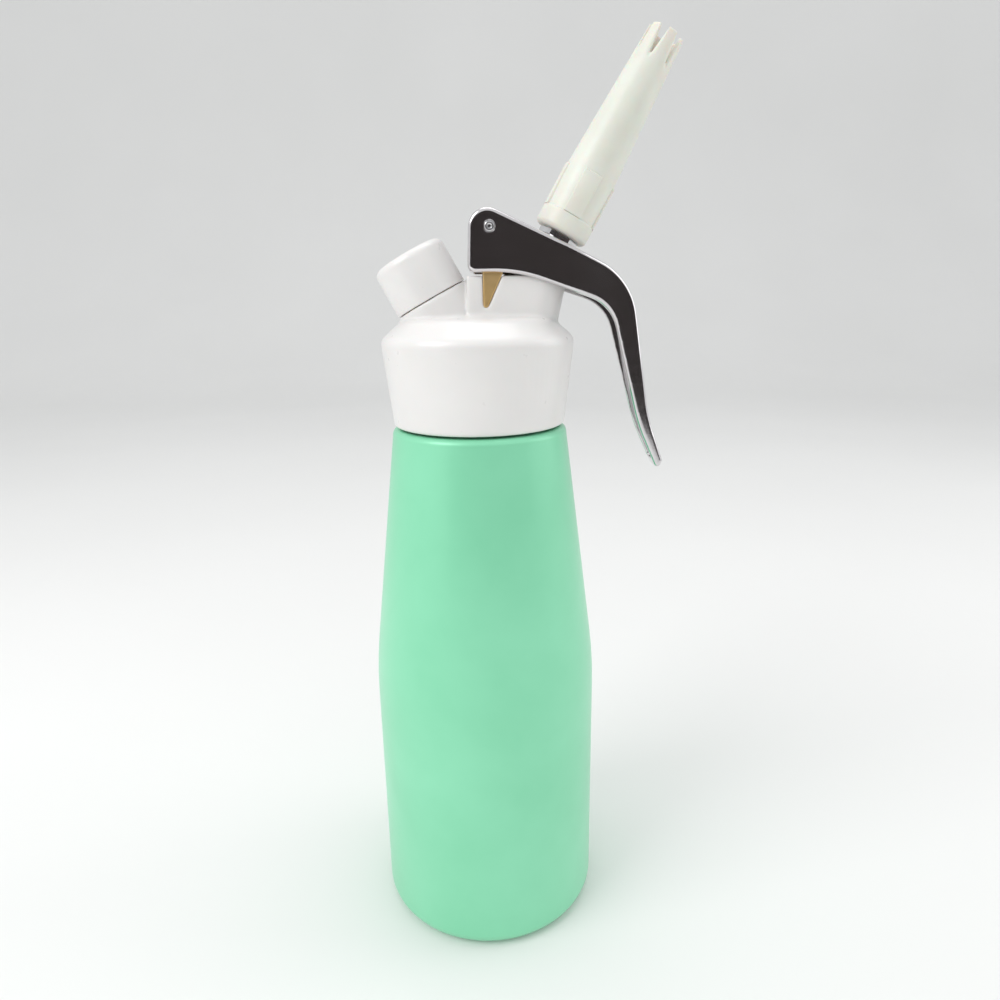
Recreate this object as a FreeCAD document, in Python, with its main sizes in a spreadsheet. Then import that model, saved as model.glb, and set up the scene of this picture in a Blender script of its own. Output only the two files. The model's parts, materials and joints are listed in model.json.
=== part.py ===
import FreeCAD, Part
import math
import os
import re
import Sketcher

# Whipped cream dispenser, 0.5 litre, standing on its base.
# Frame: origin at the centre of the base, +Z up along the bottle, +X towards the nozzle and lever.
# The valve frame has its origin at the foot of the perpendicular from the lever pin to the valve
# axis, and its own Z runs outwards along the stem. The port frame has its origin at the seam under
# the charger cap, and its own Z runs outwards through the cap.

V = FreeCAD.Vector
doc = FreeCAD.newDocument("cream_dispenser")
sheet = doc.addObject("Spreadsheet::Sheet", "Dims")

# Driving dimensions in millimetres and degrees
DIMENSIONS = {
    "bottle_radius": 40.0,
    "knee_height": 96.5,
    "knee_round": 160.0,
    "shoulder_radius": 29.4,
    "shoulder_height": 182.9,
    "shoulder_round": 2.2,
    "base_round": 5.5,
    "base_ring": 31.0,
    "base_hollow": 2.5,
    "bottle_wall": 1.7,
    "neck_radius": 24.0,
    "neck_top": 206.0,
    "mouth_radius": 21.8,
    "skirt_bottom": 183.6,
    "skirt_rim_radius": 28.85,
    "skirt_top_radius": 32.1,
    "skirt_top": 212.0,
    "skirt_round": 4.0,
    "roof_radius": 24.5,
    "roof_edge": 218.4,
    "roof_top": 220.0,
    "core_radius": 26.0,
    "core_bottom": 185.0,
    "core_top": 213.5,
    "core_thread_radius": 24.3,
    "plate_bottom": 208.0,
    "gasket_bottom": 206.1,
    "gasket_inner": 20.6,
    "tower_half_width": 10.2,
    "tower_top": 231.5,
    "tower_right_low": 25.9,
    "tower_right_high": 29.8,
    "tower_left": -3.0,
    "tower_round": 9.4,
    "pin_x": 4.4,
    "pin_height": 245.9,
    "pin_radius": 1.6,
    "pin_half_length": 12.3,
    "pin_clearance": 0.05,
    "ear_radius": 3.6,
    "wedge_left": 2.1,
    "wedge_right": 8.6,
    "wedge_tip": 221.8,
    "wedge_top": 232.6,
    "valve_tilt": 29.5,
    "valve_arm": 20.75,
    "boss_radius": 9.6,
    "boss_top": -1.0,
    "tube_radius": 7.6,
    "tube_bore": 5.8,
    "stem_radius": 3.6,
    "stem_bore": 2.3,
    "stem_clearance": 0.05,
    "stem_bottom": -36.0,
    "stem_top": 19.0,
    "collar_radius": 6.2,
    "collar_bottom": 2.4,
    "collar_top": 4.4,
    "collar_bevel": 1.1,
    "stem_thread_radius": 4.4,
    "cross_hole_radius": 1.5,
    "cross_hole_height": -27.0,
    "bush_bottom": -24.0,
    "bush_top": -14.0,
    "ring_height": -19.0,
    "ring_wire": 0.9,
    "seat_bottom": -31.8,
    "seat_top": -29.4,
    "seat_bore": 4.6,
    "seal_radius": 5.4,
    "seal_thickness": 2.4,
    "seal_gap": 0.05,
    "nut_bottom": 7.7,
    "nut_radius": 6.6,
    "nozzle_bottom": 9.55,
    "nozzle_length": 65.2,
    "nozzle_collar_radius": 8.85,
    "nozzle_collar_height": 6.1,
    "nozzle_foot_radius": 8.2,
    "nozzle_cone_radius": 8.35,
    "nozzle_tip_radius": 5.7,
    "nozzle_tip_bore": 4.6,
    "nozzle_thread_bore": 4.7,
    "nozzle_thread_top": 20.3,
    "nozzle_bore": 6.6,
    "nozzle_bore_start": 22.5,
    "rib_width": 6.2,
    "rib_reach": 8.95,
    "rib_top_reach": 8.85,
    "rib_top": 29.3,
    "tooth_depth": 8.0,
    "tooth_gap": 3.2,
    "tooth_turn": 41.0,
    "port_tilt": 28.2,
    "port_x": -14.75,
    "port_height": 224.6,
    "cap_radius": 12.4,
    "cap_top_radius": 12.2,
    "cap_seam": 0.15,
    "cap_length": 15.65,
    "cap_round": 2.6,
    "cap_bore": 10.2,
    "cap_depth": 13.0,
    "nipple_radius": 9.9,
    "nipple_top": 10.0,
    "nipple_seat": -1.0,
    "shank_radius": 6.0,
    "shank_bottom": -17.0,
    "port_tube_radius": 8.0,
    "bulb_neck_radius": 4.7,
    "bulb_neck_floor": 4.0,
    "chamber_radius": 3.6,
    "chamber_top": -3.0,
    "gas_hole_radius": 1.2,
    "poppet_radius": 2.9,
    "poppet_bottom": -5.0,
    "retainer_top": -14.0,
    "lever_half_width": 12.0,
    "lever_knee_half_width": 6.0,
    "lever_tip_half_width": 4.2,
    "lever_sheet": 1.4,
    "lever_edge_round": 1.2,
    "lever_hole_radius": 5.9,
    "spring_radius": 4.9,
    "spring_wire": 0.8,
    "check_spring_radius": 2.0,
    "check_spring_wire": 0.4,
}

for row, (alias, number) in enumerate(DIMENSIONS.items(), start=1):
    sheet.set("A%d" % row, alias)
    sheet.set("B%d" % row, str(number))
    sheet.setAlias("B%d" % row, alias)
doc.recompute()


def bound(text):
    """The expression with each alias written as a cell of the sheet."""
    return re.sub(r"\b([a-z]+(?:_[a-z]+)+)\b", r"Dims.\1", str(text))


def value(text):
    """The number that an expression gives now."""
    number = sheet.evalExpression(bound(text))
    return float(getattr(number, "Value", number))


def new_body(label):
    body = doc.addObject("PartDesign::Body", label)
    body.Label = label
    return body


def new_sketch(body, name, plane="XZ_Plane"):
    """A sketch on one of the body's own origin planes."""
    sketch = body.newObject("Sketcher::SketchObject", name)
    faces = [item for item in body.Origin.OriginFeatures if item.Role == plane]
    sketch.AttachmentSupport = [(faces[0], "")]
    sketch.MapMode = "FlatFace"
    return sketch


def shift_sketch(sketch, across, up, turn):
    """Moves a sketch in its plane, to a frame of its own."""
    start = V(value(across), value(up), 0)
    spin = FreeCAD.Rotation(V(0, 0, 1), value(turn))
    sketch.AttachmentOffset = FreeCAD.Placement(start, spin)
    sketch.setExpression("AttachmentOffset.Base.x", bound(across))
    sketch.setExpression("AttachmentOffset.Base.y", bound(up))


def lift_sketch(sketch, height):
    """Moves a sketch along its plane's normal."""
    sketch.AttachmentOffset = FreeCAD.Placement(V(0, 0, value(height)), FreeCAD.Rotation())
    sketch.setExpression("AttachmentOffset.Base.z", bound(height))


def turn_sketch(sketch, turn):
    """Swings a sketch about its own vertical axis."""
    spin = FreeCAD.Rotation(V(0, 1, 0), value(turn))
    sketch.AttachmentOffset = FreeCAD.Placement(V(), spin)
    sketch.setExpression("AttachmentOffset.Rotation.Angle", bound(turn))


def draw_outline(sketch, corners):
    """A closed outline through corners (across, up) or (across, up, rounding radius)."""
    count = len(corners)
    base = sketch.GeometryCount
    spots = [V(value(c[0]), value(c[1]), 0) for c in corners]
    rounds = [value(c[2]) if len(c) > 2 else 0.0 for c in corners]
    arrive = []
    leave = []
    for i in range(count):
        back = (spots[i - 1] - spots[i]).normalize()
        ahead = (spots[(i + 1) % count] - spots[i]).normalize()
        trim = rounds[i] / math.tan(back.getAngle(ahead) / 2)
        arrive.append(spots[i] + back * trim)
        leave.append(spots[i] + ahead * trim)
    lines = [Part.LineSegment(leave[i], arrive[(i + 1) % count]) for i in range(count)]
    sketch.addGeometry(lines, False)
    rules = []
    bindings = []
    for i in range(count):
        before = base + (i - 1) % count
        after = base + i
        if rounds[i] == 0.0:
            rules.append(Sketcher.Constraint("Coincident", before, 2, after, 1))
            pin_down(rules, bindings, after, 1, corners[i])
            continue
        back = (spots[i - 1] - spots[i]).normalize()
        ahead = (spots[(i + 1) % count] - spots[i]).normalize()
        half = back.getAngle(ahead) / 2
        inward = (back + ahead).normalize()
        centre = spots[i] + inward * (rounds[i] / math.sin(half))
        left_turn = back.cross(ahead).z < 0
        start, stop = (arrive[i], leave[i]) if left_turn else (leave[i], arrive[i])
        ends = (1, 2) if left_turn else (2, 1)
        circle = Part.Circle(centre, V(0, 0, 1), rounds[i])
        sweep = (circle.parameter(start), circle.parameter(stop))
        arc = sketch.addGeometry(Part.ArcOfCircle(circle, *sweep), False)
        mark = sketch.addGeometry(Part.Point(spots[i]), True)
        rules.append(Sketcher.Constraint("Tangent", before, 2, arc, ends[0]))
        rules.append(Sketcher.Constraint("Tangent", arc, ends[1], after, 1))
        bindings.append((len(rules), corners[i][2]))
        rules.append(Sketcher.Constraint("Radius", arc, rounds[i]))
        rules.append(Sketcher.Constraint("PointOnObject", mark, 1, before))
        rules.append(Sketcher.Constraint("PointOnObject", mark, 1, after))
        pin_down(rules, bindings, mark, 1, corners[i])
    add_rules(sketch, rules, bindings)


def draw_circle(sketch, across, up, radius):
    """A full circle whose centre and radius come from the sheet."""
    centre = V(value(across), value(up), 0)
    ring = sketch.addGeometry(Part.Circle(centre, V(0, 0, 1), value(radius)), False)
    rules = []
    bindings = []
    pin_down(rules, bindings, ring, 3, (across, up))
    bindings.append((len(rules), radius))
    rules.append(Sketcher.Constraint("Radius", ring, value(radius)))
    add_rules(sketch, rules, bindings)


def pin_down(rules, bindings, geo, end, corner):
    """Ties a point to its place, each coordinate through the sheet."""
    for axis, kind, text in ((-2, "DistanceX", corner[0]), (-1, "DistanceY", corner[1])):
        if text == "0":
            rules.append(Sketcher.Constraint("PointOnObject", geo, end, axis))
        else:
            bindings.append((len(rules), text))
            rules.append(Sketcher.Constraint(kind, -1, 1, geo, end, value(text)))


def add_rules(sketch, rules, bindings):
    """Adds constraints in one call and binds those with a size to the sheet."""
    base = sketch.ConstraintCount
    sketch.addConstraint(rules)
    for index, text in bindings:
        sketch.setExpression("Constraints[%d]" % (base + index), bound(text))


def turned(body, name, corners, cut=False, frame=None):
    """A solid or a cut of revolution about the frame's own Z axis."""
    sketch = new_sketch(body, name + "_profile")
    if frame:
        shift_sketch(sketch, *frame)
    draw_outline(sketch, corners)
    kind = "PartDesign::Groove" if cut else "PartDesign::Revolution"
    feature = body.newObject(kind, name)
    feature.Profile = sketch
    feature.ReferenceAxis = (sketch, ["V_Axis"])
    feature.Angle = 360
    body.Tip = feature
    doc.recompute()
    return feature


def padded(body, name, sketch, length, symmetric=True, cut=False):
    """A pad or pocket of the sketch, on both sides of its plane when symmetric."""
    kind = "PartDesign::Pocket" if cut else "PartDesign::Pad"
    feature = body.newObject(kind, name)
    feature.Profile = sketch
    feature.SideType = "Symmetric" if symmetric else "One side"
    feature.Length = value(length)
    feature.setExpression("Length", bound(length))
    body.Tip = feature
    doc.recompute()
    return feature


def rounded(body, name, picks, radius):
    """Rounds the edges of the body's tip that picks accepts."""
    base = body.Tip
    names = ["Edge%d" % (i + 1) for i, edge in enumerate(base.Shape.Edges) if picks(edge)]
    feature = body.newObject("PartDesign::Fillet", name)
    feature.Base = (base, names)
    feature.Radius = value(radius)
    feature.setExpression("Radius", bound(radius))
    body.Tip = feature
    doc.recompute()
    return feature


def repeated(body, name, feature, count, turn=360):
    """Copies a feature round the body's own Z axis."""
    pattern = body.newObject("PartDesign::PolarPattern", name)
    pattern.Originals = [feature]
    axes = [item for item in body.Origin.OriginFeatures if item.Role == "Z_Axis"]
    pattern.Axis = (axes[0], [""])
    pattern.Angle = turn
    pattern.Occurrences = count
    body.Tip = pattern
    doc.recompute()
    return pattern


VALVE_X = "pin_x + valve_arm * cos(valve_tilt)"
VALVE_UP = "pin_height - valve_arm * sin(valve_tilt)"
VALVE_FRAME = (VALVE_X, VALVE_UP, "-valve_tilt")
PORT_FRAME = ("port_x", "port_height", "port_tilt")


def place(body, across, up, turn):
    """Stands a body in the valve or port frame, leaning in the XZ plane."""
    start = V(value(across), 0, value(up))
    body.Placement = FreeCAD.Placement(start, FreeCAD.Rotation(V(0, -1, 0), value(turn)))
    body.setExpression("Placement.Base.x", bound(across))
    body.setExpression("Placement.Base.z", bound(up))
    body.setExpression("Placement.Rotation.Angle", bound(turn))


def ring_section(inner, outer, low, high):
    return [(inner, low), (outer, low), (outer, high), (inner, high)]


def simple_ring(label, frame, inner, outer, low, high):
    """A plain ring or disc in a leaning frame."""
    body = new_body(label)
    turned(body, label + "_ring", ring_section(inner, outer, low, high))
    place(body, *frame)
    return body


def make_bottle():
    """Thin aluminium bottle: straight to the knee, then a long taper and a short neck."""
    body = new_body("bottle")
    floor = "base_hollow + bottle_wall"
    outside = [
        ("0", "base_hollow"),
        ("base_ring", "base_hollow", "1.5"),
        ("base_ring + base_hollow", "0", "1.5"),
        ("bottle_radius", "0", "base_round"),
        ("bottle_radius", "knee_height", "knee_round"),
        ("shoulder_radius", "shoulder_height", "shoulder_round"),
        ("neck_radius", "shoulder_height", "0.8"),
        ("neck_radius", "neck_top", "0.5"),
        ("mouth_radius", "neck_top", "0.5"),
    ]
    inside = [
        ("mouth_radius", "shoulder_height - bottle_wall", "1.5"),
        ("shoulder_radius - bottle_wall", "shoulder_height - bottle_wall - 1", "2.5"),
        ("bottle_radius - bottle_wall", "knee_height", "knee_round"),
        ("bottle_radius - bottle_wall", floor, "base_round - bottle_wall"),
        ("0", floor),
    ]
    turned(body, "bottle_wall_form", outside + inside)
    return body


def make_gasket():
    body = new_body("head_gasket")
    section = ring_section("gasket_inner", "neck_radius", "gasket_bottom", "plate_bottom")
    turned(body, "gasket_ring", section)
    return body


def make_core():
    """Metal insert: threaded ring, top plate, leaning tubes for the valve and the gas port."""
    body = new_body("head_core")
    section = [
        ("core_thread_radius", "core_bottom"),
        ("core_radius", "core_bottom"),
        ("core_radius", "core_top"),
        ("0", "core_top"),
        ("0", "plate_bottom"),
        ("core_thread_radius", "plate_bottom"),
    ]
    turned(body, "core_ring", section)
    tube = ring_section("0", "tube_radius", "bush_bottom - 2", "boss_top")
    turned(body, "valve_tube", tube, frame=VALVE_FRAME)
    tube = ring_section("0", "port_tube_radius", "shank_bottom + 4", "nipple_seat")
    turned(body, "port_tube", tube, frame=PORT_FRAME)
    bore = ring_section("0", "tube_bore", "stem_bottom", "boss_top + 1")
    turned(body, "valve_bore", bore, cut=True, frame=VALVE_FRAME)
    bore = ring_section("0", "shank_radius", "shank_bottom - 4", "nipple_seat + 1")
    turned(body, "port_bore", bore, cut=True, frame=PORT_FRAME)
    return body


def tower(body):
    """The tower under the lever: flat sides, a round right end that flares upwards."""
    sections = []
    for name, height, right in (
        ("tower_foot", "core_top", "tower_right_low"),
        ("tower_head", "tower_top", "tower_right_high"),
    ):
        sketch = new_sketch(body, name, "XY_Plane")
        lift_sketch(sketch, height)
        plan = [
            ("tower_left", "-tower_half_width"),
            (right, "-tower_half_width", "tower_round"),
            (right, "tower_half_width", "tower_round"),
            ("tower_left", "tower_half_width"),
        ]
        draw_outline(sketch, plan)
        sections.append(sketch)
    loft = body.newObject("PartDesign::AdditiveLoft", "tower")
    loft.Profile = sections[0]
    loft.Sections = [sections[1]]
    body.Tip = loft
    doc.recompute()


def make_shell():
    """White moulded cover: skirt, sloping roof, tower for the lever and two leaning bosses."""
    body = new_body("shell_form")
    skirt = [
        ("core_radius", "skirt_bottom"),
        ("skirt_rim_radius", "skirt_bottom", "1"),
        ("skirt_top_radius", "skirt_top", "skirt_round"),
        ("roof_radius", "roof_edge", "6"),
        ("0", "roof_top"),
        ("0", "core_top"),
        ("core_radius", "core_top"),
    ]
    turned(body, "skirt_and_roof", skirt)
    tower(body)
    boss = ring_section("0", "boss_radius", "bush_bottom + 4", "boss_top")
    turned(body, "valve_boss", boss, frame=VALVE_FRAME)
    boss = ring_section("0", "cap_radius", "shank_bottom + 8", "0")
    turned(body, "port_boss", boss, frame=PORT_FRAME)
    room = ring_section("0", "core_radius", "skirt_bottom", "core_top")
    turned(body, "core_room", room, cut=True)
    rim = ring_section("0", "nipple_radius", "nipple_seat", "1")
    turned(body, "nipple_recess", rim, cut=True, frame=PORT_FRAME)
    bore = ring_section("0", "tube_radius", "bush_bottom - 12", "boss_top + 1")
    turned(body, "tube_room", bore, cut=True, frame=VALVE_FRAME)
    bore = ring_section("0", "port_tube_radius", "shank_bottom - 4", "nipple_seat")
    turned(body, "port_room", bore, cut=True, frame=PORT_FRAME)
    return body


def flat_bar(body, name, corners, length, cut=False):
    """A pad or pocket of an outline in the XZ plane, half to each side of it."""
    sketch = new_sketch(body, name + "_profile")
    draw_outline(sketch, corners)
    return padded(body, name, sketch, length, cut=cut)


def round_bar(body, name, across, up, radius, length, cut=False):
    """A pin or hole along Y at a place in the XZ plane."""
    sketch = new_sketch(body, name + "_profile")
    draw_circle(sketch, across, up, radius)
    return padded(body, name, sketch, length, cut=cut)


def make_bracket():
    """Brass bracket: a round eye for the pin above a wedge that seats in the tower."""
    body = new_body("pivot_bracket")
    outline = [
        ("wedge_left + 1.4", "wedge_tip", "0.7"),
        ("wedge_right", "wedge_top", "0.5"),
        ("pin_x + ear_radius", "pin_height", "6"),
        ("pin_x + ear_radius", "pin_height + ear_radius", "ear_radius - 0.02"),
        ("pin_x - ear_radius", "pin_height + ear_radius", "ear_radius - 0.02"),
        ("pin_x - ear_radius", "wedge_top + 2", "3"),
        ("wedge_left", "wedge_top", "1"),
        ("wedge_left", "wedge_tip", "0.5"),
    ]
    flat_bar(body, "bracket", outline, "2 * tower_half_width")
    round_bar(body, "eye", "pin_x", "pin_height", "pin_radius", "3 * tower_half_width", cut=True)
    return body


def make_pin():
    body = new_body("lever_pin")
    round_bar(body, "pin", "pin_x", "pin_height", "pin_radius", "2 * pin_half_length")
    return body


def make_stem():
    """Hollow valve stem: closed foot with cross holes, thrust collar, threaded mouth."""
    body = new_body("valve_stem")
    outline = [
        ("0", "stem_bottom"),
        ("stem_radius", "stem_bottom"),
        ("stem_radius", "collar_bottom"),
        ("collar_radius", "collar_bottom"),
        ("collar_radius", "collar_top - collar_bevel"),
        ("collar_radius - collar_bevel", "collar_top"),
        ("stem_thread_radius", "collar_top"),
        ("stem_thread_radius", "stem_top - 0.6"),
        ("stem_thread_radius - 0.6", "stem_top"),
        ("stem_bore", "stem_top"),
        ("stem_bore", "cross_hole_height - 2"),
        ("0", "cross_hole_height - 2 - stem_bore"),
    ]
    turned(body, "stem", outline)
    sketch = new_sketch(body, "cross_hole_profile")
    draw_circle(sketch, "0", "cross_hole_height", "cross_hole_radius")
    hole = padded(body, "cross_hole", sketch, "4 * stem_radius", cut=True)
    repeated(body, "cross_holes", hole, 2, turn=90)
    place(body, *VALVE_FRAME)
    return body


def hexagon(across):
    """Corners of a hexagon with this radius to its corners, points along X."""
    half = "(" + across + ") / 2"
    side = "(" + across + ") * sqrt(3) / 2"
    return [
        (across, "0"),
        (half, side),
        ("-" + half, side),
        ("-(" + across + ")", "0"),
        ("-" + half, "-" + side),
        (half, "-" + side),
    ]


def make_hex_nut(label, low, high, radius, bore):
    """A hexagon nut with a round bore, standing on the valve axis."""
    body = new_body(label)
    sketch = new_sketch(body, label + "_plan", "XY_Plane")
    lift_sketch(sketch, low)
    draw_outline(sketch, hexagon(radius))
    padded(body, label + "_block", sketch, high + " - (" + low + ")", symmetric=False)
    turned(body, label + "_bore", ring_section("0", bore, low + " - 1", high + " + 1"), cut=True)
    chamfer = [
        (radius + " * 0.93", high + " + 0.01"),
        (radius + " * 1.1", high + " + 0.01"),
        (radius + " * 1.1", high + " - 0.9"),
    ]
    turned(body, label + "_bevel", chamfer, cut=True)
    place(body, *VALVE_FRAME)
    return body


def make_o_ring():
    """Rubber ring that seals the stem inside the bush."""
    body = new_body("stem_o_ring")
    sketch = new_sketch(body, "ring_section_profile")
    centre = "stem_radius + stem_clearance + ring_wire"
    draw_circle(sketch, centre, "ring_height", "ring_wire")
    feature = body.newObject("PartDesign::Revolution", "o_ring")
    feature.Profile = sketch
    feature.ReferenceAxis = (sketch, ["V_Axis"])
    feature.Angle = 360
    body.Tip = feature
    doc.recompute()
    place(body, *VALVE_FRAME)
    return body


def make_bush():
    """Brass guide bush with a groove for the rubber ring."""
    body = new_body("valve_bush")
    bore = "stem_radius + stem_clearance"
    groove = "stem_radius + stem_clearance + 2 * ring_wire"
    outline = [
        (bore, "bush_bottom"),
        ("tube_bore", "bush_bottom"),
        ("tube_bore", "bush_top"),
        (bore, "bush_top"),
        (bore, "ring_height + ring_wire"),
        (groove, "ring_height + ring_wire"),
        (groove, "ring_height - ring_wire"),
        (bore, "ring_height - ring_wire"),
    ]
    turned(body, "bush", outline)
    place(body, *VALVE_FRAME)
    return body


def make_nozzle():
    """Star nozzle: thick foot with grip ribs, long cone, six teeth round the mouth."""
    body = new_body("nozzle")
    tip = "nozzle_bottom + nozzle_length"
    foot = "nozzle_bottom + nozzle_collar_height"
    outline = [
        ("nozzle_thread_bore", "nozzle_bottom"),
        ("nozzle_collar_radius", "nozzle_bottom", "1.6"),
        ("nozzle_collar_radius", foot, "0.6"),
        ("nozzle_foot_radius", foot, "0.4"),
        ("nozzle_cone_radius", "rib_top", "8"),
        ("nozzle_tip_radius", tip, "0.4"),
        ("nozzle_tip_bore", tip, "0.3"),
        ("nozzle_bore", "nozzle_bore_start", "2"),
        ("nozzle_thread_bore", "nozzle_thread_top"),
    ]
    turned(body, "nozzle_tube", outline)
    sketch = new_sketch(body, "rib_profile", "YZ_Plane")
    rib = [
        ("nozzle_bore + 0.6", foot + " - 1"),
        ("rib_reach", foot + " - 1"),
        ("rib_top_reach", "rib_top", "0.6"),
        ("nozzle_bore + 0.6", "rib_top"),
    ]
    draw_outline(sketch, rib)
    grip = padded(body, "grip_rib", sketch, "rib_width")
    repeated(body, "grip_ribs", grip, 4)
    sketch = new_sketch(body, "gap_profile")
    turn_sketch(sketch, "tooth_turn")
    gap = [
        ("-tooth_gap / 2", tip + " + 0.5"),
        ("-0.3", tip + " - tooth_depth"),
        ("0.3", tip + " - tooth_depth"),
        ("tooth_gap / 2", tip + " + 0.5"),
    ]
    draw_outline(sketch, gap)
    cut = padded(body, "tooth_gap_cut", sketch, "2 * nozzle_tip_radius", symmetric=False, cut=True)
    repeated(body, "teeth", cut, 6)
    place(body, *VALVE_FRAME)
    return body


def make_cap():
    """Short screw cap over the charger port, open below."""
    body = new_body("charger_cap")
    top = "cap_seam + cap_length"
    outline = [
        ("cap_bore", "cap_seam"),
        ("cap_radius", "cap_seam", "0.4"),
        ("cap_top_radius", top, "cap_round"),
        ("0", top),
        ("0", "cap_depth"),
        ("cap_bore", "cap_depth", "0.8"),
    ]
    turned(body, "cap", outline)
    place(body, *PORT_FRAME)
    return body


def make_nipple():
    """Charger port: threaded nipple, recess for the bulb's neck, valve chamber in its shank."""
    body = new_body("port_nipple")
    outline = [
        ("gas_hole_radius", "chamber_top"),
        ("chamber_radius", "chamber_top"),
        ("chamber_radius", "shank_bottom"),
        ("shank_radius", "shank_bottom"),
        ("shank_radius", "nipple_seat"),
        ("nipple_radius", "nipple_seat"),
        ("nipple_radius", "nipple_top", "0.8"),
        ("bulb_neck_radius", "nipple_top", "0.8"),
        ("bulb_neck_radius", "bulb_neck_floor"),
        ("poppet_radius", "bulb_neck_floor"),
        ("poppet_radius", "0.5"),
        ("gas_hole_radius", "0.5"),
    ]
    turned(body, "nipple", outline)
    place(body, *PORT_FRAME)
    return body


def make_piercing_pin():
    """Hollow steel pin on a disc, which opens the gas bulb."""
    body = new_body("piercing_pin")
    outline = [
        ("0.4", "0.5"),
        ("poppet_radius", "0.5"),
        ("poppet_radius", "bulb_neck_floor - 1"),
        ("gas_hole_radius", "bulb_neck_floor - 1"),
        ("gas_hole_radius", "nipple_top - 3"),
        ("0.4", "nipple_top - 1.6"),
    ]
    turned(body, "piercer", outline)
    place(body, *PORT_FRAME)
    return body


def make_poppet():
    """Mushroom-shaped rubber check valve under the gas hole."""
    body = new_body("check_poppet")
    top = "chamber_top - 0.1"
    outline = [
        ("0", top),
        ("poppet_radius - 0.7", top),
        ("poppet_radius", top + " - 0.7"),
        ("poppet_radius", "poppet_bottom"),
        ("1", "poppet_bottom"),
        ("1", "poppet_bottom - 3"),
        ("0", "poppet_bottom - 3"),
    ]
    turned(body, "poppet", outline)
    place(body, *PORT_FRAME)
    return body


LEVER_TOP = [
    (-2.7, 232.4, 2.5),
    (-1.8, 254.7, 6.0),
    (50.3, 230.5, 22.0),
    (57.3, 185.0, 60.0),
    (62.9, 169.5, 1.2),
]
LEVER_BOTTOM = [
    (61.1, 165.8, 1.2),
    (53.6, 182.3, 60.0),
    (43.4, 221.6, 14.0),
    (13.2, 232.4, 45.0),
]
LEVER_BELOW = [(57.0, 169.0), (47.0, 187.0), (38.0, 216.0), (13.0, 226.0)]


def inset_line(start, stop, depth):
    """A line moved to its right by a depth, as a point and a direction."""
    run = V(stop[0] - start[0], stop[1] - start[1], 0).normalize()
    return V(start[0], start[1], 0) + V(run.y, -run.x, 0) * depth, run


def inset_corners(corners, depth):
    """The inner corners of a bent sheet whose outer side runs through these corners."""
    pairs = zip(corners[:-1], corners[1:])
    lines = [inset_line(start, stop, depth) for start, stop in pairs]
    inner = []
    for (here, run), (there, other), corner in zip(lines[:-1], lines[1:], corners[1:]):
        gap = there - here
        reach = gap.cross(other).z / run.cross(other).z
        spot = here + run * reach
        bend = corner[2] - depth if run.cross(other).z < 0 else corner[2] + depth
        inner.append((spot.x, spot.y, bend))
    return inner


def as_text(corners):
    return [tuple("%.3f" % number for number in corner) for corner in corners]


def taper_sides(body, name, less):
    """Cuts both sides: wide over the head, drawn in at the knee, slim at the handle's tip."""
    wide = "lever_half_width" + less
    knee = "lever_knee_half_width" + less
    slim = "lever_tip_half_width" + less
    for label, sign in (("near", "-"), ("far", "")):
        sketch = new_sketch(body, "%s_%s_plan" % (name, label), "XY_Plane")
        lift_sketch(sketch, "tower_top - 80")
        outer = sign + "2 * lever_half_width"
        plan = [
            ("22", sign + "(" + wide + ")"),
            ("30", sign + "(" + wide + ")", "25"),
            ("46", sign + "(" + knee + ")", "40"),
            ("65", sign + "(" + slim + ")"),
            ("65", outer),
            ("22", outer),
        ]
        draw_outline(sketch, plan)
        cut = padded(
            body, "%s_%s" % (name, label), sketch, "120", symmetric=False, cut=True
        )
        cut.Reversed = True
        doc.recompute()


def is_top_edge(edge, top, bottom):
    """True for the long edges between the lever's web and its cheeks."""
    middle = edge.valueAt((edge.FirstParameter + edge.LastParameter) / 2)
    spot = Part.Vertex(V(middle.x, 0, middle.z))
    near = spot.distToShape(top)[0]
    far = spot.distToShape(bottom)[0]
    crosses = abs(edge.Vertexes[0].Y - edge.Vertexes[-1].Y) > 10
    return near < 3 and near + 0.1 < far and not crosses and middle.z > 173 and edge.Length > 0.2


def side_line(corners):
    return Part.makePolygon([V(corner[0], 0, corner[1]) for corner in corners])


def make_lever():
    """Bent channel of bright sheet: closed back, web over two cheeks, handle curving down."""
    block = new_body("lever_block")
    outline = as_text(LEVER_TOP + LEVER_BOTTOM)
    flat_bar(block, "block", outline, "2 * lever_half_width")
    taper_sides(block, "taper", "")
    top = side_line(LEVER_TOP)
    bottom = side_line([LEVER_TOP[-1]] + LEVER_BOTTOM + [LEVER_TOP[0]])
    rounded(
        block, "bent_edges", lambda edge: is_top_edge(edge, top, bottom), "lever_edge_round"
    )
    hollow = new_body("lever_hollow")
    sheet_depth = value("lever_sheet")
    inner = inset_corners(LEVER_TOP, sheet_depth)
    back = (inner[0][0] - 0.25, 226.0)
    last = inner[-1]
    tip = (last[0] + 4.7, last[1] - 13.6)
    outline = as_text([back] + inner + [tip] + LEVER_BELOW)
    flat_bar(hollow, "hollow", outline, "2 * (lever_half_width - lever_sheet)")
    taper_sides(hollow, "hollow_taper", " - lever_sheet")
    holes = new_body("lever_holes")
    radius = "pin_radius + pin_clearance"
    round_bar(holes, "pin_hole", "pin_x", "pin_height", radius, "3 * lever_half_width")
    section = ring_section("0", "lever_hole_radius", "2", "nozzle_bottom")
    turned(holes, "stem_hole", section, frame=VALVE_FRAME)
    channel = cut_away("lever_channel", block, hollow)
    return cut_away("lever", channel, holes)


def cut_away(label, base, tool):
    """One solid with another taken out of it."""
    result = doc.addObject("Part::Cut", label)
    result.Label = label
    result.Base = base
    result.Tool = tool
    doc.recompute()
    return result


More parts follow.
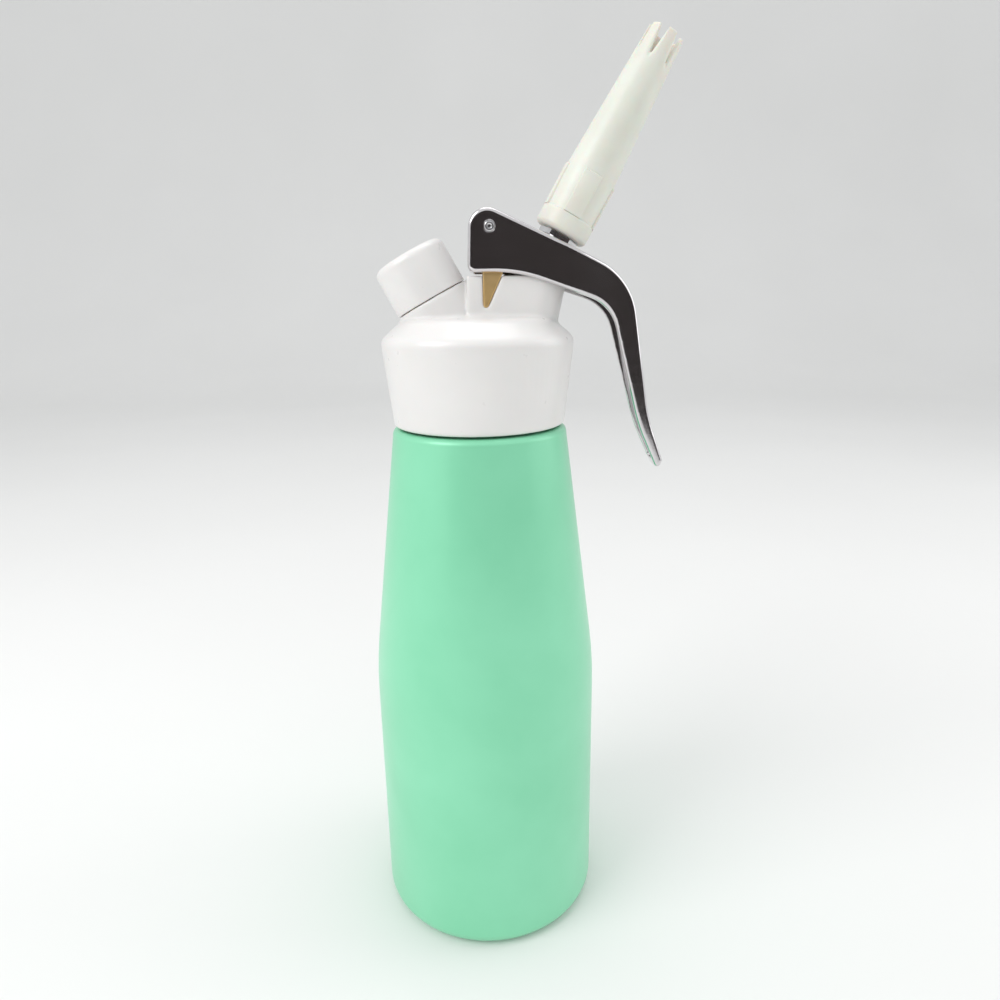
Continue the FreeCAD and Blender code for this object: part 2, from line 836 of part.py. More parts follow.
def make_sleeve(label, frame, radius, wire, low, high):
    """A spring as a thin sleeve the size of its coil."""
    inner = "%s - %s / 2" % (radius, wire)
    outer = "%s + %s / 2" % (radius, wire)
    return simple_ring(label, frame, inner, outer, low, high)


def build():
    bracket = make_bracket()
    seal_top = "seat_bottom - seal_gap"
    seal_low = "seat_bottom - seal_gap - seal_thickness"
    liner_low = "cap_depth - 1.2"
    washer_low = "stem_top + 0.1"
    nut_top = "nozzle_bottom - 0.1"
    return [
        make_bottle(),
        make_gasket(),
        make_core(),
        cut_away("head_shell", make_shell(), bracket),
        bracket,
        make_pin(),
        make_lever(),
        make_stem(),
        make_hex_nut("stem_nut", "nut_bottom", nut_top, "nut_radius", "stem_thread_radius"),
        make_o_ring(),
        make_bush(),
        simple_ring("valve_seat", VALVE_FRAME, "seat_bore", "tube_bore", "seat_bottom", "seat_top"),
        simple_ring("valve_seal", VALVE_FRAME, "stem_radius", "seal_radius", seal_low, seal_top),
        make_hex_nut("seal_nut", "stem_bottom - 2", seal_low, "seal_radius", "stem_radius"),
        make_sleeve(
            "valve_spring", VALVE_FRAME, "spring_radius", "spring_wire", "bush_top", "collar_bottom"
        ),
        make_nozzle(),
        simple_ring(
            "nozzle_washer",
            VALVE_FRAME,
            "stem_bore",
            "nozzle_thread_bore",
            washer_low,
            "nozzle_thread_top",
        ),
        make_cap(),
        simple_ring("cap_liner", PORT_FRAME, "0", "cap_bore - 0.9", liner_low, "cap_depth"),
        make_nipple(),
        simple_ring(
            "port_seal",
            PORT_FRAME,
            "gas_hole_radius + 0.6",
            "bulb_neck_radius",
            "bulb_neck_floor",
            "bulb_neck_floor + 1.5",
        ),
        make_piercing_pin(),
        make_poppet(),
        make_sleeve(
            "check_spring",
            PORT_FRAME,
            "check_spring_radius",
            "check_spring_wire",
            "retainer_top",
            "poppet_bottom - 0.05",
        ),
        simple_ring(
            "check_retainer",
            PORT_FRAME,
            "gas_hole_radius",
            "chamber_radius",
            "shank_bottom",
            "retainer_top",
        ),
    ]


pieces = build()
doc.recompute()
faults = [item.Name for item in doc.Objects if {"Invalid", "Error"} & set(item.State)]
if faults:
    raise RuntimeError("failed objects: " + ", ".join(faults))
os.makedirs("parts", exist_ok=True)
for piece in pieces:
    shape = piece.Shape
    if shape.isNull() or not shape.isValid() or len(shape.Solids) != 1:
        raise RuntimeError("bad solid: " + piece.Label)
for piece in pieces:
    piece.Shape.exportStep("parts/" + piece.Label + ".step")
    box = piece.Shape.optimalBoundingBox()
    print(
        "%-16s %9.1f mm3  X %6.1f %6.1f  Y %6.1f %6.1f  Z %6.1f %6.1f"
        % (
            piece.Label,
            piece.Shape.Volume,
            box.XMin,
            box.XMax,
            box.YMin,
            box.YMax,
            box.ZMin,
            box.ZMax,
        )
    )
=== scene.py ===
import bpy
import bmesh
import json
import math
from mathutils import Matrix, Vector


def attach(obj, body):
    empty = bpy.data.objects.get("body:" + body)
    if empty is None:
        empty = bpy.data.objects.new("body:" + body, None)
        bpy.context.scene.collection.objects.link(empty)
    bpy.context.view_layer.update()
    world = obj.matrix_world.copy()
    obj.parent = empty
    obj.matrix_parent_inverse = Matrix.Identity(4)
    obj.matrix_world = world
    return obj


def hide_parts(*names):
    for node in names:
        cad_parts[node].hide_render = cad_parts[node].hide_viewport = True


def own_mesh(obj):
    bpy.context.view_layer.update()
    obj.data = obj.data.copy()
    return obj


# Whipped cream dispenser: the looks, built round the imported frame.
# The frame is in metres. The mechanism lies in the XZ plane and the camera looks along +Y.
# Profiles are lists of (radius, height) or (radius, height, rounding), in millimetres and in
# the frame of the piece.

MM = 0.001

# Driving places: (across, up) in millimetres, tilts in degrees towards +X
PIN = (4.4, 245.9)
VALVE_TILT = 29.5
VALVE_ARM = 20.75
PORT = (-14.75, 224.6)
PORT_TILT = -28.2


def leaning(across, up, degrees):
    """A frame in the XZ plane whose own Z leans towards +X."""
    turn = Matrix.Rotation(math.radians(degrees), 4, "Y")
    return Matrix.Translation((across * MM, 0, up * MM)) @ turn


TILT = math.radians(VALVE_TILT)
VALVE_FOOT = (PIN[0] + VALVE_ARM * math.cos(TILT), PIN[1] - VALVE_ARM * math.sin(TILT))
VALVE_FRAME = leaning(*VALVE_FOOT, VALVE_TILT)
PORT_FRAME = leaning(*PORT, PORT_TILT)
UPRIGHT = Matrix.Identity(4)
PIN_FRAME = leaning(*PIN, 0) @ Matrix.Rotation(math.radians(90), 4, "X")

# Bottle, from the ground up
BOTTLE_RADIUS = 40.0
BOTTLE_WALL = 1.7
BASE_HOLLOW = 2.5
KNEE_HEIGHT = 96.5
KNEE_ROUND = 160.0
SHOULDER_RADIUS = 29.4
SHOULDER_HEIGHT = 182.9
NECK_RADIUS = 24.0
NECK_TOP = 206.0
MOUTH_RADIUS = 21.8
NECK_THREAD = (189.5, 204.0)
PAINT_TOP = 183.3

# Charger cap and port, along the port axis
CAP_BORE = 10.2
CAP_RADIUS = 12.4
CAP_TOP = 15.8
CAP_SEAM = 0.15
CAP_DEPTH = 13.0
CAP_THREAD = (1.2, 9.8)
CAP_GROOVE = 0.7
PORT_PITCH = 1.8

# Star nozzle, along the valve axis
NOZZLE_FOOT = 9.55
NOZZLE_TIP = 74.75
STEM_HOLE = 4.7
COLLAR_RADIUS = 8.85
COLLAR_TOP = 15.65
RIB_TOP = 29.3
CONE_FOOT = 8.2
CONE_RADIUS = 8.35
TIP_RADIUS = 5.7
TOOTH_DEPTH = 8.0
TOOTH_TURN = 41.0

# Where a thread's flank starts and ends: its distance from the middle of the groove, as a
# share of the pitch
FLANK = (0.14, 0.34)


# Materials


class Finish:
    """Builds one node material. A keyword's underscores are the spaces in a socket's name."""

    def __init__(self, name):
        self.material = bpy.data.materials.new(name)
        self.material.use_nodes = True
        self.tree = self.material.node_tree
        self.shader = self.tree.nodes["Principled BSDF"]

    def add(self, kind, **sockets):
        node = self.tree.nodes.new(kind)
        for key, number in sockets.items():
            node.inputs[key.replace("_", " ")].default_value = number
        return node

    def maths(self, kind, operation, first, second):
        """A maths node. Its operands are other nodes' outputs or plain values."""
        node = self.tree.nodes.new(kind)
        node.operation = operation
        for socket, operand in zip(node.inputs, (first, second)):
            if isinstance(operand, bpy.types.NodeSocket):
                self.link(operand, socket)
            else:
                socket.default_value = operand
        return node

    def link(self, source, target):
        self.tree.links.new(source, target)

    def plain(self, **sockets):
        """Sets values that are the same all over the surface."""
        for key, number in sockets.items():
            self.shader.inputs[key.replace("_", " ")].default_value = number

    def noise(self, scale, detail=3.0, rough=0.5, stretch=(1, 1, 1)):
        """Noise from 0 to 1 that is fixed to the object."""
        place = self.add("ShaderNodeTexCoord")
        mapping = self.add("ShaderNodeMapping", Scale=stretch)
        noise = self.add("ShaderNodeTexNoise", Scale=scale, Detail=detail, Roughness=rough)
        self.link(place.outputs["Object"], mapping.inputs["Vector"])
        self.link(mapping.outputs["Vector"], noise.inputs["Vector"])
        return noise.outputs["Fac"]

    def colour(self, value, dark, light):
        """Base colour from a dark to a light tone as the value rises."""
        ramp = self.add("ShaderNodeValToRGB")
        for element, position, tone in zip(ramp.color_ramp.elements, (0.3, 0.7), (dark, light)):
            element.position = position
            element.color = (*tone, 1)
        self.link(value, ramp.inputs["Fac"])
        self.link(ramp.outputs["Color"], self.shader.inputs["Base Color"])

    def roughness(self, value, low, high):
        node = self.add("ShaderNodeMapRange", To_Min=low, To_Max=high)
        self.link(value, node.inputs["Value"])
        self.link(node.outputs["Result"], self.shader.inputs["Roughness"])

    def bump(self, height, strength, distance):
        node = self.add("ShaderNodeBump", Strength=strength, Distance=distance)
        self.link(height, node.inputs["Height"])
        self.link(node.outputs["Normal"], self.shader.inputs["Normal"])

    def blend(self, share, socket, other):
        """Mixes what feeds a shader socket with another value, by share."""
        node = self.add("ShaderNodeMix")
        node.data_type = "RGBA" if isinstance(other, tuple) else "FLOAT"
        first, second = [point for point in node.inputs if point.name in "AB" and point.enabled]
        target = self.shader.inputs[socket]
        if target.is_linked:
            self.link(target.links[0].from_socket, first)
        else:
            first.default_value = target.default_value
        second.default_value = other
        self.link(share, node.inputs["Factor"])
        self.link(next(point for point in node.outputs if point.enabled), target)


def bare_share(m):
    """1 on the bottle's neck and on every wall that faces the bottle's own axis."""
    place = m.add("ShaderNodeTexCoord")
    parts = m.add("ShaderNodeSeparateXYZ")
    m.link(place.outputs["Object"], parts.inputs["Vector"])
    vector_maths = "ShaderNodeVectorMath"
    outward = m.maths(vector_maths, "MULTIPLY", place.outputs["Object"], (1, 1, 0))
    facing = m.maths(
        vector_maths, "DOT_PRODUCT", outward.outputs["Vector"], place.outputs["Normal"]
    )
    neck = m.maths("ShaderNodeMath", "GREATER_THAN", parts.outputs["Z"], PAINT_TOP * MM)
    inside = m.maths("ShaderNodeMath", "LESS_THAN", facing.outputs["Value"], -0.002)
    either = m.maths("ShaderNodeMath", "MAXIMUM", neck.outputs[0], inside.outputs[0])
    return either.outputs["Value"]


def bottle_paint():
    """Satin mint lacquer with a fine sprayed grain. The neck and the inside stay bare."""
    m = Finish("bottle_paint")
    m.colour(m.noise(28.0, detail=4.0), (0.225, 0.680, 0.415), (0.262, 0.735, 0.465))
    m.roughness(m.noise(1800.0, detail=2.0), 0.32, 0.46)
    m.plain(Metallic=0.12, Coat_Weight=0.35, Coat_Roughness=0.2)
    m.bump(m.noise(3000.0, detail=2.0), strength=0.12, distance=0.00005)
    bare = bare_share(m)
    m.blend(bare, "Base Color", (0.70, 0.70, 0.70, 1))
    m.blend(bare, "Metallic", 1.0)
    m.blend(bare, "Coat Weight", 0.0)
    return m.material


def head_plastic():
    """Glossy white moulded plastic with slight flow marks."""
    m = Finish("head_plastic")
    m.colour(m.noise(40.0), (0.76, 0.745, 0.73), (0.80, 0.785, 0.77))
    m.roughness(m.noise(260.0), 0.24, 0.36)
    m.plain(Subsurface_Weight=0.05, Subsurface_Scale=0.004, Coat_Weight=0.15)
    m.bump(m.noise(900.0, detail=2.0), strength=0.06, distance=0.00005)
    return m.material


def lever_chrome():
    """Polished sheet with faint marks, longest along the lever's top."""
    m = Finish("lever_chrome")
    along = (0.25, 1, 1)
    m.colour(m.noise(60.0, detail=4.0), (0.66, 0.64, 0.65), (0.74, 0.72, 0.73))
    m.roughness(m.noise(320.0, detail=6.0, rough=0.7, stretch=along), 0.06, 0.19)
    m.plain(Metallic=1.0)
    rubbing = m.noise(650.0, detail=5.0, rough=0.7, stretch=along)
    m.bump(rubbing, strength=0.05, distance=0.00005)
    return m.material


def bare_metal(name, tones, smooth, rough, grain, metallic=1.0):
    """A machined metal whose grain is set by its noise scale."""
    m = Finish(name)
    m.colour(m.noise(grain / 3, detail=4.0), *tones)
    m.roughness(m.noise(grain, detail=4.0), smooth, rough)
    m.plain(Metallic=metallic)
    m.bump(m.noise(2 * grain), strength=0.08, distance=0.00004)
    return m.material


def soft_plastic(name, tones, smooth, rough, depth):
    """A dull plastic or rubber that lets a little light in."""
    m = Finish(name)
    m.colour(m.noise(90.0), *tones)
    m.roughness(m.noise(380.0), smooth, rough)
    m.plain(Subsurface_Weight=depth, Subsurface_Scale=0.005)
    m.bump(m.noise(900.0, detail=2.0), strength=0.08, distance=0.00005)
    return m.material


def matt(name, scale, detail, dark, light, rough):
    """A dull surface for the floor and the card."""
    m = Finish(name)
    m.colour(m.noise(scale, detail=detail), dark, light)
    m.plain(Roughness=rough)
    return m.material


STEEL = ((0.58, 0.58, 0.59), (0.70, 0.70, 0.71))
ALUMINIUM = ((0.60, 0.60, 0.60), (0.72, 0.72, 0.72))
BRASS = ((0.66, 0.44, 0.18), (0.78, 0.55, 0.26))
RUBBER = ((0.56, 0.54, 0.50), (0.64, 0.62, 0.58))
MILKY = ((0.70, 0.70, 0.62), (0.76, 0.76, 0.69))
MATERIALS = {
    "bottle_paint": bottle_paint(),
    "head_plastic": head_plastic(),
    "lever_chrome": lever_chrome(),
    "pin_steel": bare_metal("pin_steel", STEEL, 0.12, 0.26, grain=600.0),
    "stem_steel": bare_metal("stem_steel", STEEL, 0.16, 0.30, grain=700.0),
    "spring_steel": bare_metal("spring_steel", STEEL, 0.22, 0.36, grain=800.0),
    "core_metal": bare_metal("core_metal", ALUMINIUM, 0.28, 0.42, grain=500.0),
    "brass": bare_metal("brass", BRASS, 0.36, 0.52, grain=450.0, metallic=0.75),
    "seal_rubber": soft_plastic("seal_rubber", RUBBER, 0.45, 0.6, depth=0.1),
    "nozzle_plastic": soft_plastic("nozzle_plastic", MILKY, 0.30, 0.42, depth=0.3),
}
SLOT_OF = {}


# Mesh helpers


def link_object(name, data):
    thing = bpy.data.objects.new(name, data)
    bpy.context.scene.collection.objects.link(thing)
    return thing


def show(name, mesh, node, body, place=UPRIGHT):
    """Stands a new piece, drawn in millimetres, in for a CAD node."""
    mesh.transform(Matrix.Scale(MM, 4))
    mesh.transform(place)
    return take_over(name, mesh, node, body)


def take_over(name, mesh, node, body, sharp=40):
    """Gives a mesh the node's finish and body, and lets it replace the node."""
    mesh.materials.clear()
    mesh.materials.append(MATERIALS[SLOT_OF[node]])
    for polygon in mesh.polygons:
        polygon.use_smooth = True
    mesh.set_sharp_from_angle(angle=math.radians(sharp))
    piece = link_object(name, mesh)
    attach(piece, body)
    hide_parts(node)
    return piece


def to_mesh(bm, name):
    bmesh.ops.recalc_face_normals(bm, faces=bm.faces)
    mesh = bpy.data.meshes.new(name)
    bm.to_mesh(mesh)
    bm.free()
    return mesh


def run(start, end, step):
    """Points from start up to end, evenly spaced, without the end."""
    start, end = Vector(start), Vector(end)
    count = max(1, math.ceil((end - start).length / step))
    return [tuple(start.lerp(end, i / count)) for i in range(count)]


def rounded(corners, arc_degrees=9):
    """A closed profile in which each corner's rounding is turned into an arc."""
    spots = [Vector(corner[:2]) for corner in corners]
    points = []
    for i, spot in enumerate(spots):
        rounding = corners[i][2] if len(corners[i]) > 2 else 0
        if not rounding:
            points.append(spot)
            continue
        back = (spots[i - 1] - spot).normalized()
        ahead = (spots[(i + 1) % len(spots)] - spot).normalized()
        half = back.angle(ahead) / 2
        centre = spot + (back + ahead).normalized() * rounding / math.sin(half)
        start = spot + back * rounding / math.tan(half) - centre
        stop = spot + ahead * rounding / math.tan(half) - centre
        count = max(2, math.ceil(math.degrees(start.angle(stop)) / arc_degrees))
        points += [centre + start.slerp(stop, k / count) * rounding for k in range(count + 1)]
    return points


def skin(name, columns):
    """A closed surface through columns of points that stand side by side round an axis."""
    bm = bmesh.new()
    poles = {}
    grid = []
    for column in columns:
        line = []
        for k, (x, y, z) in enumerate(column):
            on_axis = math.hypot(x, y) < 1e-6
            if on_axis and k not in poles:
                poles[k] = bm.verts.new((0, 0, z))
            line.append(poles[k] if on_axis else bm.verts.new((x, y, z)))
        grid.append(line)
    for left, right in zip(grid, grid[1:] + grid[:1]):
        for k in range(len(left)):
            corners = (left[k - 1], right[k - 1], right[k], left[k])
            loop = [v for i, v in enumerate(corners) if v not in corners[:i]]
            if len(loop) > 2:
                bm.faces.new(loop)
    return to_mesh(bm, name)


def lathe(name, points, sides=144, thread=None):
    """Turns a closed profile about Z. thread moves a radius by its height and angle."""
    columns = []
    for i in range(sides):
        angle = 2 * math.pi * i / sides
        column = []
        for radius, height in points:
            if thread and radius > 1e-6:
                radius += thread(radius, height, angle)
            column.append((radius * math.cos(angle), radius * math.sin(angle), height))
        columns.append(column)
    return skin(name, columns)


def smooth_step(value, low, high):
    """From 0 at low to 1 at high, with soft ends. It falls where low is above high."""
    t = min(max((value - low) / (high - low), 0), 1)
    return t * t * (3 - 2 * t)


def ridge(height, angle, pitch):
    """1 on the crest of a helical thread, 0 in its groove."""
    phase = (height / pitch - angle / (2 * math.pi)) % 1
    return smooth_step(0.5 - abs(phase - 0.5), *FLANK)


def screw(crest, pitch, low, high, depth, slack=0.3):
    """An outside thread, cut into the radii near the crest, that fades out at both ends."""

    def cut(radius, height, angle):
        if abs(radius - crest) > slack or not low < height < high:
            return 0
        above_start = smooth_step(height, low, low + pitch)
        below_end = 1 - smooth_step(height, high - pitch, high)
        return -depth * (1 - ridge(height, angle, pitch) * above_start * below_end)

    return cut


def moulded(name, node, body, voxel, passes, sharp=180):
    """The CAD piece with every edge and inner corner softened, as moulding or polishing does."""
    mesh = frame["nodes"][node].data.copy()
    draft = link_object(name + "_draft", mesh)
    remesh = draft.modifiers.new("even", "REMESH")
    remesh.mode = "VOXEL"
    remesh.voxel_size = voxel * MM
    smooth = draft.modifiers.new("soft", "SMOOTH")
    smooth.factor = 0.5
    smooth.iterations = passes
    graph = bpy.context.evaluated_depsgraph_get()
    soft = bpy.data.meshes.new_from_object(draft.evaluated_get(graph))
    bpy.data.objects.remove(draft)
    return take_over(name, soft, node, body, sharp)


def threaded(name, node, body, place, voxel, thread):
    """The CAD piece with a thread cut into its round wall."""
    piece = moulded(name, node, body, voxel, passes=1, sharp=40)
    back = place.inverted()
    for vertex in piece.data.vertices:
        spot = back @ vertex.co / MM
        radius = math.hypot(spot.x, spot.y)
        cut = thread(radius, spot.z, math.atan2(spot.y, spot.x))
        if cut:
            share = 1 + cut / radius
            spot = Vector((spot.x * share, spot.y * share, spot.z))
            vertex.co = place @ (spot * MM)


def coil(name, node, body, place, radius, wire, low, high, turns):
    """A spring of round wire whose first and last turns lie nearly flat."""
    wire_sides = 10
    steps = 24 * turns
    one_turn = 1 / turns
    bm = bmesh.new()
    rings = []
    for i in range(steps + 1):
        part = i / steps
        rise = smooth_step(part, one_turn, 1 - one_turn)
        end_turns = min(part, one_turn) + max(part - 1 + one_turn, 0)
        lie = wire * end_turns * turns / 2
        height = low + wire / 2 + lie + rise * (high - low - 2 * wire)
        angle = 2 * math.pi * turns * part
        out = Vector((math.cos(angle), math.sin(angle), 0))
        ring = []
        for k in range(wire_sides):
            round_wire = 2 * math.pi * k / wire_sides
            spot = out * (radius + wire / 2 * math.cos(round_wire))
            spot.z = height + wire / 2 * math.sin(round_wire)
            ring.append(bm.verts.new(spot))
        rings.append(ring)
    for a, b in zip(rings[:-1], rings[1:]):
        for k in range(wire_sides):
            bm.faces.new((a[k - 1], b[k - 1], b[k], a[k]))
    bm.faces.new(rings[0])
    bm.faces.new(rings[-1])
    return show(name, to_mesh(bm, name), node, body, place)


# Pieces


def make_bottle():
    """Lacquered bottle: rolled base ring, long taper from the knee, threaded neck."""
    inner = BOTTLE_RADIUS - BOTTLE_WALL
    thread_low, thread_high = NECK_THREAD
    outside = [
        (0, BASE_HOLLOW),
        (31, BASE_HOLLOW, 1.5),
        (33.5, 0, 1.5),
        (BOTTLE_RADIUS, 0, 5.5),
        (BOTTLE_RADIUS, KNEE_HEIGHT, KNEE_ROUND),
        (SHOULDER_RADIUS, SHOULDER_HEIGHT, 2.2),
        (NECK_RADIUS, SHOULDER_HEIGHT, 0.8),
    ]
    neck_wall = run((NECK_RADIUS, thread_low), (NECK_RADIUS, thread_high), 0.25)
    inside = [
        (NECK_RADIUS, NECK_TOP, 0.5),
        (MOUTH_RADIUS, NECK_TOP, 0.5),
        (MOUTH_RADIUS, SHOULDER_HEIGHT - BOTTLE_WALL, 1.5),
        (SHOULDER_RADIUS - BOTTLE_WALL, 180.2, 2.5),
        (inner, KNEE_HEIGHT, KNEE_ROUND),
        (inner, BASE_HOLLOW + BOTTLE_WALL, 3.8),
        (0, BASE_HOLLOW + BOTTLE_WALL),
    ]
    points = rounded(outside + neck_wall + inside, arc_degrees=3)
    thread = screw(NECK_RADIUS, 3.0, *NECK_THREAD, depth=0.9)
    mesh = lathe("bottle_shell", points, 192, thread)
    show("bottle_shell", mesh, "bottle", "bottle_body")


def make_cap():
    """White screw cap, threaded inside."""
    thread_low, thread_high = CAP_THREAD
    outside = [
        (CAP_BORE, CAP_SEAM, 0.2),
        (CAP_RADIUS, CAP_SEAM, 0.4),
        (CAP_RADIUS - 0.2, CAP_TOP, 2.6),
        (0, CAP_TOP),
        (0, CAP_DEPTH),
        (CAP_BORE, CAP_DEPTH, 0.8),
    ]
    points = rounded(outside + run((CAP_BORE, thread_high), (CAP_BORE, thread_low), 0.2))

    def groove(radius, height, angle):
        """Widens the bore between the crests of its thread."""
        if abs(radius - CAP_BORE) > 0.1 or not thread_low < height < thread_high:
            return 0
        return CAP_GROOVE * (1 - ridge(height, angle, PORT_PITCH))

    mesh = lathe("charger_cap_shell", points, thread=groove)
    show("charger_cap_shell", mesh, "charger_cap", "cap_body", PORT_FRAME)


def nozzle_mouth(angle):
    """Height of the mouth's edge: six teeth with narrow gaps that widen upwards."""
    gap_foot, gap_mouth = 2.6, 15.2
    from_gap = abs((math.degrees(angle) - TOOTH_TURN) % 60 - 30)
    rise = (from_gap - gap_foot) / (gap_mouth - gap_foot)
    tip_round = 0.35 * smooth_step(from_gap, 18, 10)
    return NOZZLE_TIP - TOOTH_DEPTH * (1 - min(max(rise, 0), 1)) - tip_round


def rib_share(angle):
    """1 on the four grip ribs, 0 between them."""
    from_rib = abs((math.degrees(angle) + 45) % 90 - 45)
    return 1 - smooth_step(from_rib, 19.4, 21.1)


def nozzle_profile():
    """The nozzle without ribs or gaps, from the stem hole up the outside and down the bore."""
    near_top = RIB_TOP - 0.3
    outside = [
        (STEM_HOLE, NOZZLE_FOOT),
        (COLLAR_RADIUS, NOZZLE_FOOT, 1.6),
        (COLLAR_RADIUS, COLLAR_TOP, 0.5),
        (CONE_FOOT, COLLAR_TOP, 0.2),
    ]
    outside += run((CONE_FOOT, COLLAR_TOP + 0.7), (CONE_RADIUS, near_top), 0.9)
    outside += run((CONE_RADIUS, near_top), (CONE_RADIUS, RIB_TOP), 0.1)
    outside += run((CONE_RADIUS, RIB_TOP), (TIP_RADIUS, NOZZLE_TIP), 1.0)
    inside = [(TIP_RADIUS, NOZZLE_TIP, 0.3), (4.6, NOZZLE_TIP, 0.3)]
    inside += run((4.8, NOZZLE_TIP - 5), (6.5, 25), 1.0)
    inside += [(6.6, 22.5), (STEM_HOLE, 20.3)]
    return rounded(outside + inside)


def make_nozzle():
    """Off-white star nozzle: collar, four grip ribs, slim cone and six teeth."""
    profile = nozzle_profile()
    bend = NOZZLE_TIP - TOOTH_DEPTH - 2
    columns = []
    for i in range(360):
        angle = math.radians(i + TOOTH_TURN)
        stretch = (nozzle_mouth(angle) - bend) / (NOZZLE_TIP - bend)
        column = []
        for radius, height in profile:
            if radius > 7.9 and COLLAR_TOP < height < RIB_TOP + 0.4:
                reach = 8.93 - 0.008 * (height - COLLAR_TOP)
                top = 1 - smooth_step(height, RIB_TOP - 0.3, RIB_TOP)
                radius += max(reach - radius, 0) * rib_share(angle) * top
            if height > bend:
                height = bend + (height - bend) * stretch
            column.append((radius * math.cos(angle), radius * math.sin(angle), height))
        columns.append(column)
    show("star_nozzle", skin("star_nozzle", columns), "nozzle", "nozzle_body", VALVE_FRAME)


def make_pin():
    """Polished hinge pin with rounded, dimpled ends."""
    radius = 1.6
    half = 12.3
    end = [(0, half - 0.35), (0.55, half - 0.3, 0.2), (0.85, half, 0.2), (radius, half, 0.45)]
    other_end = [(across, -along, *rounding) for across, along, *rounding in end]
    points = rounded(other_end + end[::-1])
    show("hinge_pin", lathe("hinge_pin", points, 48), "lever_pin", "head", PIN_FRAME)


def make_threads():
    """Fine threads on the stem's mouth and on the charger port."""
    stem_thread = screw(crest=4.4, pitch=1.25, low=9.8, high=18.4, depth=0.4)
    threaded("threaded_stem", "valve_stem", "stem", VALVE_FRAME, 0.16, stem_thread)
    port_thread = screw(crest=9.9, pitch=PORT_PITCH, low=1.0, high=9.6, depth=0.6)
    threaded("threaded_nipple", "port_nipple", "head", PORT_FRAME, 0.2, port_thread)


def make_spring(name, node, place, radius, wire, top, turns):
    """A coil from a fixed foot up to the given top, on a mesh of its own."""
    foot = -14.0
    spring = coil(name, node, "head", place, radius, wire, foot, top, turns)
    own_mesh(spring)


def make_springs():
    make_spring(
        "valve_coil", "valve_spring", VALVE_FRAME,
        radius=4.9, wire=0.8, top=2.4, turns=8,
    )
    make_spring(
        "check_coil", "check_spring", PORT_FRAME,
        radius=2.0, wire=0.4, top=-5.05, turns=7,
    )


# Stage


def make_sweep():
    """A pale floor that curves up into a backdrop far behind the object."""
    half_width = 3.0
    front = -2.5
    bend = 0.8
    back = 1.4
    top = 3.0
    bend_steps = 12
    line = [(front, 0.0), (back, 0.0)]
    for step in range(1, bend_steps + 1):
        angle = math.radians(90 * step / bend_steps)
        line.append((back + bend * math.sin(angle), bend * (1 - math.cos(angle))))
    line.append((back + bend, top))
    bm = bmesh.new()
    rows = [[bm.verts.new((x, y, z)) for x in (-half_width, half_width)] for y, z in line]
    for low, high in zip(rows[:-1], rows[1:]):
        bm.faces.new((low[0], low[1], high[1], high[0]))
    mesh = to_mesh(bm, "sweep")
    paper = matt("floor_paper", 3.0, 2.0, (0.82, 0.82, 0.81), (0.84, 0.84, 0.83), rough=0.9)
    mesh.materials.append(paper)
    for polygon in mesh.polygons:
        polygon.use_smooth = True
    link_object("sweep", mesh)


def make_dark_card():
    """A dark card behind the camera, seen only in reflections."""
    left, right, low, high = -0.5, 1.3, 0.05, 0.5
    behind = -0.62
    bm = bmesh.new()
    corners = [(left, low), (right, low), (right, high), (left, high)]
    bm.faces.new([bm.verts.new((x, behind, z)) for x, z in corners])
    mesh = to_mesh(bm, "dark_card")
    black = matt("card", 2.0, 3.0, (0.022, 0.018, 0.018), (0.034, 0.027, 0.026), rough=1.0)
    mesh.materials.append(black)
    card = link_object("dark_card", mesh)
    card.visible_camera = False
    card.visible_diffuse = False
    card.visible_shadow = False


LAMP_TARGET = (0, 0, 0.17)


def add_lamp(name, place, size, power):
    """A square or oblong soft lamp that faces the middle of the object."""
    light = bpy.data.lights.new(name, "AREA")
    light.shape = "RECTANGLE"
    light.size, light.size_y = size
    light.energy = power
    aim = Vector(LAMP_TARGET) - Vector(place)
    turn = aim.to_track_quat("-Z", "Y").to_matrix().to_4x4()
    link_object(name, light).matrix_world = Matrix.Translation(place) @ turn


def make_lights():
    add_lamp("key", (-0.70, -0.45, 0.85), size=(0.6, 0.6), power=4.5)
    add_lamp("fill", (0.95, 0.05, 0.55), size=(0.5, 0.7), power=1.6)
    add_lamp("overhead", (0.05, 0.15, 1.15), size=(0.7, 0.5), power=2.2)
    world = bpy.data.worlds.new("studio")
    world.use_nodes = True
    background = world.node_tree.nodes["Background"]
    background.inputs["Color"].default_value = (0.92, 0.93, 0.94, 1)
    background.inputs["Strength"].default_value = 0.86
    bpy.context.scene.world = world


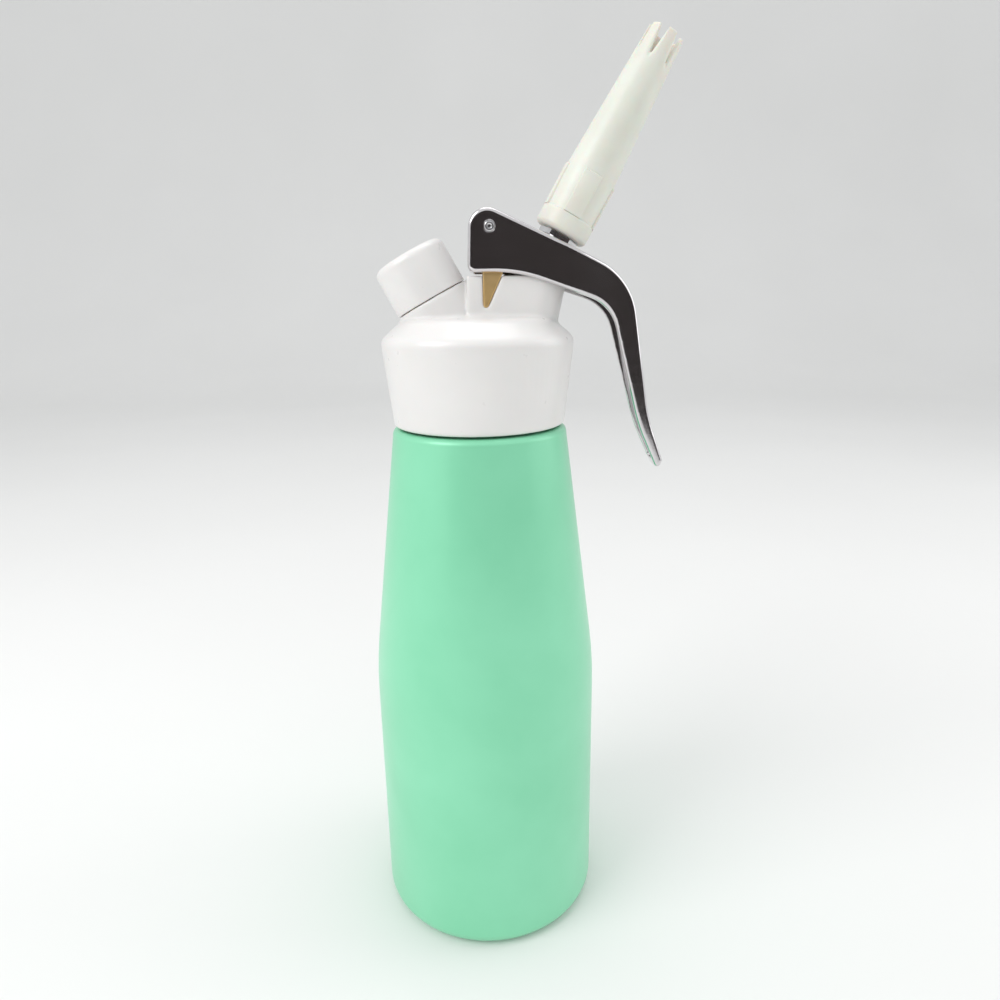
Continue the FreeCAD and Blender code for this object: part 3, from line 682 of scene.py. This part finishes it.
# Camera, in metres, degrees and pixels, placed by matching the photograph's outline
CAMERA_PLACE = (0.0, -0.24635, 0.22471)
CAMERA_PITCH = 15.634
CAMERA_YAW = 1.5166
CAMERA_ROLL = -1.0055
FOCAL_PIXELS = 722.0
PICTURE_PIXELS = 1000.0
SENSOR = 36.0


def make_camera():
    pitch, yaw, roll = (math.radians(a) for a in (CAMERA_PITCH, CAMERA_YAW, CAMERA_ROLL))
    level = Vector((math.sin(yaw), math.cos(yaw), 0))
    ahead = level * math.cos(pitch) - Vector((0, 0, math.sin(pitch)))
    right = Vector((math.cos(yaw), -math.sin(yaw), 0))
    up = right.cross(ahead)
    across = math.cos(roll) * right + math.sin(roll) * up
    upward = math.cos(roll) * up - math.sin(roll) * right
    turn = Matrix((across, upward, -ahead)).transposed().to_4x4()
    data = bpy.data.cameras.new("camera")
    data.sensor_width = SENSOR
    data.lens = SENSOR * FOCAL_PIXELS / PICTURE_PIXELS
    data.clip_start = 0.01
    camera = link_object("camera", data)
    camera.matrix_world = Matrix.Translation(CAMERA_PLACE) @ turn
    bpy.context.scene.camera = camera


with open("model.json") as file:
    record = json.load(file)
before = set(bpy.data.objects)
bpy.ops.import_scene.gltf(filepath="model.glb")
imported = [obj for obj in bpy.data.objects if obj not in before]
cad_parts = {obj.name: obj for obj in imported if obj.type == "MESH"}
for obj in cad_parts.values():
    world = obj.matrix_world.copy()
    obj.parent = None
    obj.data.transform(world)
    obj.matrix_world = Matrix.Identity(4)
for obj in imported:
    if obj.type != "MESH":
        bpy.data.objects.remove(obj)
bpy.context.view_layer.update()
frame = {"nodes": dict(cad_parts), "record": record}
for part in frame["record"]["subparts"]:
    SLOT_OF[part["node"]] = part["material_slot"]
for node, cad in frame["nodes"].items():
    cad.data.materials.clear()
    cad.data.materials.append(MATERIALS[SLOT_OF[node]])

make_camera()
make_bottle()
moulded("head_cover", "head_shell", "head", voxel=0.5, passes=14)
moulded("brass_bracket", "pivot_bracket", "head", voxel=0.25, passes=4)
moulded("squeeze_lever", "lever", "lever_body", voxel=0.25, passes=5)
make_cap()
make_nozzle()
make_pin()
make_threads()
make_springs()
make_sweep()
make_dark_card()
make_lights()
bpy.context.scene.view_settings.view_transform = "Standard"
